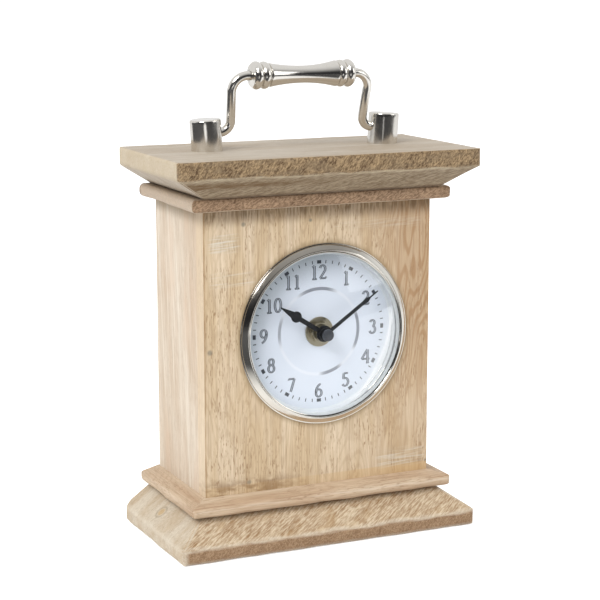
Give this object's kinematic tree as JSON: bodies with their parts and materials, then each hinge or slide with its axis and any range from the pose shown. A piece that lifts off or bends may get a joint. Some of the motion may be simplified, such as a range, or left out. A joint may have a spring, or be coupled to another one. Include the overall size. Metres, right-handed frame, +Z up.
{
  "type": "bracket clock",
  "caption": "Small wooden bracket clock with bevelled base and cap boards, a round glazed dial insert, hands set from the back and a metal carrying handle on two posts.",
  "frame": {"origin": "middle of the underside of the base board", "axes": "+Z up, front with the dial towards -Y, +X to the right seen from the front"},
  "size_m": [0.1826, 0.0944, 0.2688],
  "materials": {
    "oak_front": "pale washed, open grain",
    "side_wood": "pale washed, open grain",
    "board_wood": "pale washed, coarse end grain",
    "moulding_wood": "pale washed",
    "back_panel": "raw fibreboard",
    "nickel": "polished",
    "pin_steel": "dull",
    "screw_steel": "zinc plated",
    "dome_glass": "clear",
    "cup_white": "satin",
    "dial_white": "satin",
    "band_rubber": "matte",
    "black_hand": "satin",
    "hub_grey": "satin",
    "brass": "turned",
    "movement_black": "fine spark texture",
    "wheel_white": "moulded",
    "knob_black": "moulded",
    "washer_rubber": "matte",
    "cell_jacket": "printed sleeve, plain",
    "contact_steel": "nickel plated"
  },
  "bodies": {
    "case": {"back_board": "back_panel", "back_board_screws": "screw_steel", "base_board": "board_wood", "base_screws": "screw_steel", "battery": "cell_jacket", "bezel": "nickel", "bottom_moulding": "moulding_wood", "cap_board": "board_wood", "cap_screws": "screw_steel", "crystal": "dome_glass", "dial_plate": "dial_white", "fixing_nut": "brass", "fixing_washer": "brass", "front_board": "oak_front", "front_board_pins": "pin_steel", "handle_post_left": "nickel", "handle_post_right": "nickel", "handle_screws": "screw_steel", "insert_band": "band_rubber", "insert_cup": "cup_white", "left_side_board": "side_wood", "mounting_bushing": "brass", "movement_case": "movement_black", "movement_cover": "movement_black", "negative_contact": "contact_steel", "positive_contact": "contact_steel", "reverser_stud": "contact_steel", "right_side_board": "side_wood", "rubber_washer": "washer_rubber", "top_moulding": "moulding_wood", "top_moulding_screws": "screw_steel", "top_rail": "side_wood"},
    "hour_hand_group": {"hour_wheel": "wheel_white", "hour_hand": "black_hand"},
    "minute_hand_group": {"minute_arbor": "brass", "minute_hand": "black_hand", "hand_cap": "hub_grey"},
    "reverser": {"reverser_wheel": "wheel_white"},
    "knob": {"set_knob": "knob_black"},
    "bail": {"bail_leg_left": "nickel", "bail_leg_right": "nickel", "handle_grip": "nickel"}
  },
  "joints": [
    {"name": "bail_swing", "type": "hinge", "parent": "case", "child": "bail", "pos_m": [0, 0.0036, 0.22925], "axis": [1, 0, 0], "range_deg": [-105, 79]},
    {"name": "minute_hand_turn", "type": "hinge", "parent": "case", "child": "minute_hand_group", "pos_m": [0.003, -0.02, 0.1174], "axis": [0, 1, 0], "continuous": true},
    {"name": "hour_hand_turn", "type": "hinge", "parent": "case", "child": "hour_hand_group", "pos_m": [0.003, -0.02, 0.1174], "axis": [0, 1, 0], "continuous": true},
    {"name": "reverser_turn", "type": "hinge", "parent": "case", "child": "reverser", "pos_m": [0.008, -0.014, 0.12606], "axis": [0, 1, 0], "continuous": true},
    {"name": "set_knob_turn", "type": "hinge", "parent": "case", "child": "knob", "pos_m": [0.02031, 0, 0.12823], "axis": [0, 1, 0], "continuous": true}
  ],
  "couplings": [
    {"joint": "hour_hand_turn", "follows": "minute_hand_turn", "ratio": 0.083333},
    {"joint": "reverser_turn", "follows": "minute_hand_turn", "ratio": -0.33333},
    {"joint": "set_knob_turn", "follows": "minute_hand_turn", "ratio": 0.5}
  ]
}
